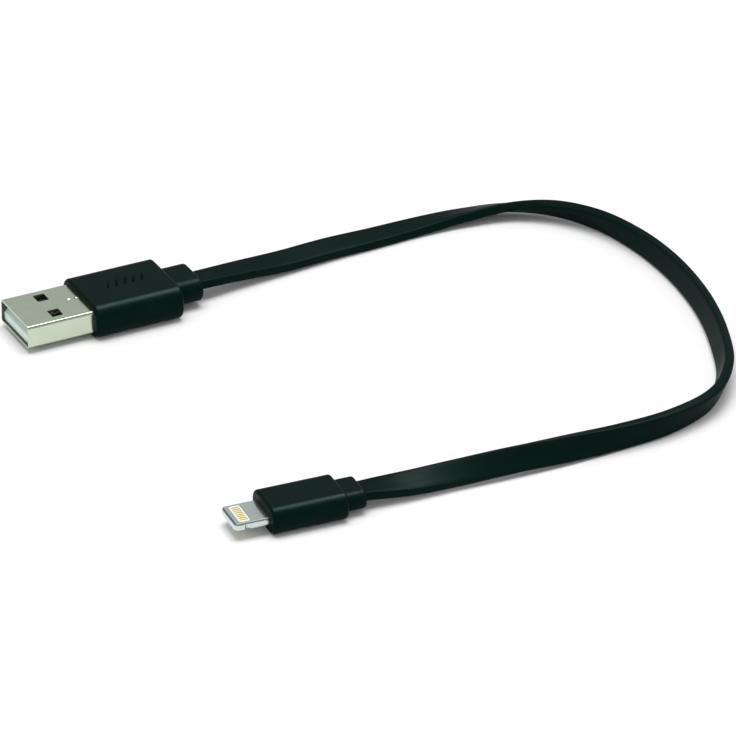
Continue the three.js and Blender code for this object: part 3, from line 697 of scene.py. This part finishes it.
def make_shell():
    """Folded steel shell with four spring windows, a bottom seam and two stamped dimples."""
    shell = rounded_bar("host_shell", host_shell_low, host_shell_high, SHELL_BEND, 8)
    inner = SHELL_WIDTH - 2 * SHELL_SHEET, SHELL_HEIGHT - 2 * SHELL_SHEET
    margin = 1 * MM
    mouth = rounded_bar(
        "mouth", *centred(HOST_TIP - margin, host_shell_high.x + margin, host_axis, *inner),
        SHELL_BEND - SHELL_SHEET, 8)
    carve(shell, mouth)
    for side in (-1, 1):
        middle = host_axis.y + side * WINDOW_SPACING / 2
        window = new_block(
            "window",
            (HOST_TIP + WINDOW_START, middle - WINDOW_WIDTH / 2, host_axis.z - SHELL_HEIGHT),
            (HOST_TIP + WINDOW_START + WINDOW_LENGTH, middle + WINDOW_WIDTH / 2,
             host_axis.z + SHELL_HEIGHT))
        round_edges(window, runs_along(2), 0.18 * MM, 3)
        carve(shell, window)
    carve(shell, *seam_cutters())
    top = host_axis.z + SHELL_HEIGHT / 2
    for along, across, radius in DIMPLES:
        spot = (HOST_TIP + along, host_axis.y + across, top + radius - DIMPLE_DEPTH)
        carve(shell, new_ball("dimple", spot, radius))
    soften(shell, 0.06 * MM, 2)
    close_up(shell)
    settle(shell, SHELL_STEEL, "plated_steel", "host_plug_shell")
    # The inside faces, away from the rim and the dimples, take the darker steel: painted shade
    # inside the shell.
    shell.data.materials.append(PAINTED_SHELL_INSIDE_SHADE)
    edge = 0.08 * MM
    for face in shell.data.polygons:
        beside = abs(face.center.y - host_axis.y) < SHELL_WIDTH / 2 - edge
        between = abs(face.center.z - host_axis.z) < SHELL_HEIGHT / 2 - edge
        behind_rim = face.center.x > HOST_TIP + edge
        dimple = abs(face.center.y - host_axis.y) < 1.2 * MM and face.normal.z > 0.2
        if beside and between and behind_rim and not dimple:
            face.material_index = 1


SEAM_WIDTH = 0.08 * MM
DOVETAIL = ((0, 0), (4.2, 0), (3.8, 1.1), (6.4, 1.1), (6.0, 0), (18.9, 0))


def seam_cutters():
    """Thin cutters along the seam under the shell, with one dovetail that locks it."""
    low = host_axis.z - SHELL_HEIGHT / 2 - FIT
    high = low + SHELL_SHEET + 2 * FIT
    cutters = []
    for (ax, ay), (bx, by) in zip(DOVETAIL, DOVETAIL[1:]):
        a = Vector((HOST_TIP + (ax - 0.1 * (ax == 0)) * MM, host_axis.y + ay * MM, 0))
        b = Vector((HOST_TIP + bx * MM, host_axis.y + by * MM, 0))
        middle = (a + b) / 2
        half = Vector(((b - a).length / 2 + SEAM_WIDTH / 2, SEAM_WIDTH / 2, (high - low) / 2))
        centre = Vector((middle.x, middle.y, (low + high) / 2))
        turn = math.atan2(b.y - a.y, b.x - a.x)
        cutters.append(new_block("seam", centre - half, centre + half, turn))
    return cutters


def grip_body(name, low, high, corner, fillet, front_lip):
    """Outer grip: rounded long edges, a soft front rim and a fuller round behind."""
    piece = rounded_bar(name, low, high, corner, 10)
    round_edges(piece, in_plane(0, low.x), front_lip, 5)
    round_edges(piece, in_plane(0, high.x), fillet, 6)
    return piece


def hollow_grip(piece, low, high, corner, front_wall, rear_wall, mouth, spigot):
    """Cut the inner space, the mouth for the metal part and the hole for the strain relief."""
    margin = 1 * MM
    axis = (low + high) / 2
    cavity = rounded_bar(
        "cavity", (low.x + front_wall, low.y + GRIP_WALL, low.z + GRIP_WALL),
        (high.x - rear_wall, high.y - GRIP_WALL, high.z - GRIP_WALL), corner - GRIP_WALL, 6)
    front = rounded_bar(
        "mouth", *centred(low.x - margin, low.x + front_wall + margin, axis,
                          mouth[0] + 2 * FIT, mouth[1] + 2 * FIT), mouth[2], 6)
    rear = rounded_bar(
        "rear_hole", *centred(high.x - rear_wall - margin, high.x + margin, axis,
                              spigot[0] + 2 * FIT, spigot[1] + 2 * FIT), SPIGOT_CORNER, 6)
    carve(piece, cavity, front, rear)


MARK_BARS = 5
MARK_PITCH = 1.7 * MM
MARK_BAR = (0.42 * MM, 2.7 * MM, 0.16 * MM)
MARK_SLANT = math.radians(-24)
MARK_PLACE = 9.3 * MM


def emboss_mark(piece, low, high):
    """Plain slanted ribs in low relief on top of the grip, as a mark of which side is up."""
    middle_y = (low.y + high.y) / 2 + 0.5 * MM
    for index in range(MARK_BARS):
        x = low.x + MARK_PLACE + (index - (MARK_BARS - 1) / 2) * MARK_PITCH
        half = Vector(MARK_BAR) / 2
        centre = Vector((x, middle_y, high.z))
        rib = new_block("rib", centre - half, centre + half, MARK_SLANT)
        round_edges(rib, runs_along(2), 0.16 * MM, 4)
        combine(piece, rib, "UNION")


phone_front = PHONE_TIP + TAB_EXPOSED
phone_rear = phone_front + PHONE_GRIP[0]


def turn_to_phone(piece):
    """Turn a piece, modelled straight along X, to the way the phone plug lies."""
    there = Matrix.Translation(phone_axis)
    piece.data.transform(there @ Matrix.Rotation(PHONE_TURN, 4, "Z") @ there.inverted())


def make_grips():
    grip = grip_body(
        "host_grip", host_grip_low, host_grip_high, HOST_GRIP_CORNER, *HOST_GRIP_ROUNDS)
    emboss_mark(grip, host_grip_low, host_grip_high)
    hollow_grip(grip, host_grip_low, host_grip_high, HOST_HOLLOW_CORNER, *HOST_GRIP_ENDS,
                (SHELL_WIDTH - 2 * FIT, SHELL_HEIGHT - 2 * FIT, SHELL_BEND), HOST_SPIGOT)
    soften(grip, 0.05 * MM, 2)
    close_up(grip)
    settle(grip, GRIP_BLACK, "black_rubber", "host_plug_overmould")
    grip.data.materials.append(MARK_BLACK)
    for face in grip.data.polygons:
        if face.center.z > host_grip_high.z + 0.005 * MM:
            face.material_index = 1
    low, high = (Vector(p) for p in centred(phone_front, phone_rear, phone_axis, *PHONE_GRIP[1:]))
    grip = grip_body("phone_grip", low, high, PHONE_GRIP_CORNER, *PHONE_GRIP_ROUNDS)
    hollow_grip(grip, low, high, PHONE_HOLLOW_CORNER, *PHONE_GRIP_ENDS,
                (TAB_WIDTH - 2 * FIT, TAB_THICKNESS - 2 * FIT, 0.3 * MM), PHONE_SPIGOT)
    soften(grip, 0.04 * MM, 2)
    close_up(grip)
    turn_to_phone(grip)
    settle(grip, GRIP_BLACK, "black_rubber", "phone_plug_overmould")


def make_relief(name, start, grip_rear, end, axis, collar, spigot, fillet):
    """Oval collar behind a grip, its rear edge well rounded, with a slot for the ribbon."""
    width, height, corner = collar
    piece = rounded_bar(name, *centred(grip_rear + FIT, end, axis, width, height), corner, 12)
    round_edges(piece, in_plane(0, end), fillet, 8)
    stem = rounded_bar("stem", *centred(start, grip_rear + 1 * MM, axis, *spigot), SPIGOT_CORNER, 6)
    combine(piece, stem, "UNION")
    margin = 1 * MM
    slot = rounded_bar(
        "slot", *centred(start - margin, end + margin, axis, RIBBON_WIDTH + FIT,
                         RIBBON_THICKNESS + FIT), RIBBON_CORNER, 6)
    carve(piece, slot)
    soften(piece, 0.05 * MM, 2)
    close_up(piece)
    return piece


def make_reliefs():
    piece = make_relief(
        "host_relief", host_relief_low.x, host_grip_high.x, host_relief_high.x, host_axis,
        HOST_COLLAR, HOST_SPIGOT, HOST_COLLAR_ROUND)
    settle(piece, RELIEF_BLACK, "black_rubber", "host_plug_strain_relief")
    piece = make_relief(
        "phone_relief", PHONE_TIP + PHONE_SPIGOT_START, phone_rear, PHONE_TIP + PHONE_RELIEF_END,
        phone_axis, PHONE_COLLAR, PHONE_SPIGOT, PHONE_COLLAR_ROUND)
    turn_to_phone(piece)
    settle(piece, RELIEF_BLACK, "black_rubber", "phone_plug_strain_relief")


# ---- phone plug ----------------------------------------------------------------------------------
def make_tab():
    """Machined tab: rounded tip, a window through it and a click notch in each side."""
    end = PHONE_TIP + TAB_END
    low, high = (Vector(p) for p in centred(PHONE_TIP, phone_front - FIT / 2, phone_axis,
                                            TAB_WIDTH, TAB_THICKNESS))
    tab = new_block("phone_tab", low, high)

    def front_corners(a, b):
        upright = runs_along(2)(a, b)
        return upright and abs(a.x - low.x) < 1e-7

    round_edges(tab, front_corners, TAB_CORNER, 10)

    def faces_rim(a, b):
        level = abs(a.z - b.z) < 1e-7
        return level and min(a.x, b.x) < high.x - 1e-6

    round_edges(tab, faces_rim, TAB_RIM, 6)
    tail = rounded_bar("tail", *centred(high.x - FIT, end, phone_axis, TAB_WIDTH - 2 * FIT,
                                        TAB_THICKNESS - 2 * FIT), 0.2 * MM, 4)
    combine(tab, tail, "UNION")
    flange_start = phone_front + FLANGE_DISTANCE
    flange = rounded_bar(
        "flange", *centred(flange_start, flange_start + FLANGE_THICKNESS, phone_axis, *FLANGE),
        0.5 * MM, 5)
    combine(tab, flange, "UNION")
    window_middle = PHONE_TIP + TAB_WINDOW_START + TAB_WINDOW_LENGTH / 2
    window = new_block(
        "window",
        (window_middle - TAB_WINDOW_LENGTH / 2, phone_axis.y - TAB_WINDOW_WIDTH / 2,
         phone_axis.z - TAB_THICKNESS),
        (window_middle + TAB_WINDOW_LENGTH / 2, phone_axis.y + TAB_WINDOW_WIDTH / 2,
         phone_axis.z + TAB_THICKNESS))
    round_edges(window, runs_along(2), 0.5 * MM, 6)
    slot = new_block(
        "slot", *centred(window_middle, end + 1 * MM, phone_axis, *TAB_SLOT))
    carve(tab, window, slot)
    for side in (-1, 1):
        middle = (PHONE_TIP + DETENT_PLACE,
                  phone_axis.y + side * (TAB_WIDTH / 2 + DETENT_RADIUS - DETENT_DEPTH),
                  phone_axis.z)
        carve(tab, new_rod("notch", middle, DETENT_RADIUS, DETENT_HEIGHT, (0, 0, 0), 40))
    soften(tab, 0.035 * MM, 2)
    close_up(tab)
    turn_to_phone(tab)
    settle(tab, TAB_METAL, "tab_metal", "phone_plug_tab_frame")
    # The sloped faces of the rounded rim take the darker metal: a painted dark reflection along the
    # rim.
    tab.data.materials.append(PAINTED_RIM_REFLECTION)
    for face in tab.data.polygons:
        sloped = 0.5 < abs(face.normal.z) < 0.93
        at_rim = abs(face.center.z - phone_axis.z) > TAB_THICKNESS / 2 - 0.3 * MM
        if sloped and at_rim:
            face.material_index = 1


def pad_corners(index, side, grow=0.0):
    place = phone_axis.y + (index - (PAD_COUNT - 1) / 2) * PAD_PITCH
    middle = PHONE_TIP + TAB_WINDOW_START + TAB_WINDOW_LENGTH / 2
    outer = phone_axis.z + side * (TAB_THICKNESS / 2 - FIT / 2)
    inner = outer - side * PAD_THICKNESS
    return (
        (middle - PAD_LENGTH / 2 - grow, place - PAD_WIDTH / 2 - grow, min(outer, inner)),
        (middle + PAD_LENGTH / 2 + grow, place + PAD_WIDTH / 2 + grow, max(outer, inner)),
    )


def make_carrier():
    """White insert that fills the window, with a shallow seat for each pad."""
    half = Vector((TAB_WINDOW_LENGTH / 2 - FIT / 2, TAB_WINDOW_WIDTH / 2 - FIT / 2,
                   TAB_THICKNESS / 2 - 0.03 * MM))
    middle = Vector((PHONE_TIP + TAB_WINDOW_START + TAB_WINDOW_LENGTH / 2, phone_axis.y,
                     phone_axis.z))
    insert = new_block("phone_carrier", middle - half, middle + half)
    round_edges(insert, runs_along(2), 0.45 * MM, 6)
    reach = new_block(
        "reach", *centred(middle.x, PHONE_TIP + TAB_END, phone_axis, *CARRIER_REACH))
    combine(insert, reach, "UNION")
    for side in (-1, 1):
        for index in range(PAD_COUNT):
            low, high = pad_corners(index, side, 0.03 * MM)
            below, above = (SEAT_DEPTH, 0) if side < 0 else (0, SEAT_DEPTH)
            seat = new_block(
                "seat", (low[0], low[1], low[2] - below), (high[0], high[1], high[2] + above))
            round_edges(seat, runs_along(2), 0.15 * MM, 4)
            carve(insert, seat)
    soften(insert, 0.02 * MM, 2)
    close_up(insert)
    turn_to_phone(insert)
    settle(insert, CARRIER_WHITE, "white_plastic", "phone_plug_contact_carrier")


def make_pads():
    """One gold pad with round ends and a slight crown, copied to both faces."""
    low, high = pad_corners(0, 1)
    pattern = new_block("phone_pad_top_1", low, high)
    round_edges(pattern, runs_along(2), 0.15 * MM, 5)
    round_edges(pattern, in_plane(2, high[2]), 0.04 * MM, 3)
    close_up(pattern)
    for face, side in (("top", 1), ("bottom", -1)):
        for index in range(PAD_COUNT):
            if (face, index) == ("top", 0):
                continue
            pad = pattern.copy()
            pad.data = pattern.data.copy()
            pad.name = f"phone_pad_{face}_{index + 1}"
            pad.data.name = pad.name
            scene.collection.objects.link(pad)
            if side < 0:
                spin = Matrix.Rotation(math.pi, 4, "X")
                centre = Matrix.Translation((0, phone_axis.y, phone_axis.z))
                pad.data.transform(centre @ spin @ centre.inverted())
                start = PAD_COUNT - 1
            else:
                start = 0
            pad.data.transform(Matrix.Translation((0, (index - start) * PAD_PITCH, 0)))
            turn_to_phone(pad)
            settle(pad, GOLD, "gold_plating", f"phone_plug_pad_{face}_{index + 1}")
    turn_to_phone(pattern)
    settle(pattern, GOLD, "gold_plating", "phone_plug_pad_top_1")


def coat_inner_parts():
    """Materials for the pieces that keep the shape of the model."""
    looks = {
        "host_plug_tongue": TONGUE_WHITE,
        "host_plug_inner_mould": MOULD_GREY,
        "phone_plug_inner_mould": MOULD_GREY,
        "phone_plug_circuit_board": BOARD,
        "phone_plug_main_chip": CHIP_BLACK,
        "phone_plug_switch_chip": CHIP_BLACK,
        "phone_plug_resistor": CHIP_BLACK,
        "phone_plug_capacitor_1": CERAMIC,
        "phone_plug_capacitor_2": CERAMIC,
        "phone_plug_shield_top": SHIELD_METAL,
        "phone_plug_shield_bottom": SHIELD_METAL,
    }
    for number in range(1, 5):
        looks[f"host_plug_contact_{number}"] = GOLD
    for name, finish in WIRE_FINISHES.items():
        looks[f"cord_conductor_{name}"] = finish
    for name, finish in looks.items():
        coat(bpy.data.objects[name], finish)


make_shell()
make_grips()
make_reliefs()
make_tab()
make_carrier()
make_pads()
coat_inner_parts()


# ---- floor and light -----------------------------------------------------------------------------
def floor_finish():
    made = Finish("studio_floor")
    made.link(made.ramp(made.noise(8, 2), [(0.3, (0.90, 0.90, 0.90)), (0.7, (0.92, 0.92, 0.92))]),
              made.shader.inputs["Base Color"])
    made.set(Roughness=0.7, Specular_IOR_Level=0.2)
    return made.material


def make_floor():
    bpy.ops.object.select_all(action="DESELECT")
    bpy.ops.mesh.primitive_plane_add(size=8, location=(0, 0, 0))
    floor = bpy.context.active_object
    floor.name = "studio_floor"
    bpy.ops.object.transform_apply(location=True, rotation=True, scale=True)
    coat(floor, floor_finish())


def soft_light(name, place, size, power):
    data = bpy.data.lights.new(name, "AREA")
    data.shape = "RECTANGLE"
    data.size, data.size_y = size
    data.energy = power
    light = bpy.data.objects.new(name, data)
    scene.collection.objects.link(light)
    light.location = place
    aim = Vector((0.03, 0, 0)) - Vector(place)
    light.rotation_euler = aim.to_track_quat("-Z", "Y").to_euler()
    return light


def make_light():
    world = bpy.data.worlds.new("studio")
    scene.world = world
    world.use_nodes = True
    world.node_tree.nodes["Background"].inputs["Color"].default_value = (1, 1, 1, 1)
    world.node_tree.nodes["Background"].inputs["Strength"].default_value = 0.6
    soft_light("overhead", (0.03, 0.02, 0.9), (0.7, 0.5), 5.8)
    sheen = soft_light("sheen", (0.43, 0.11, 0.88), (0.4, 0.22), 17)
    sheen.visible_diffuse = False
    rubber_pieces = bpy.data.collections.new("rubber pieces")
    for name in ("host_grip", "phone_grip", "host_relief", "phone_relief", "cord_ribbon"):
        rubber_pieces.objects.link(bpy.data.objects[name])
    sheen.light_linking.receiver_collection = rubber_pieces


make_floor()
make_light()
scene.view_settings.view_transform = "Standard"
scene.view_settings.look = "None"
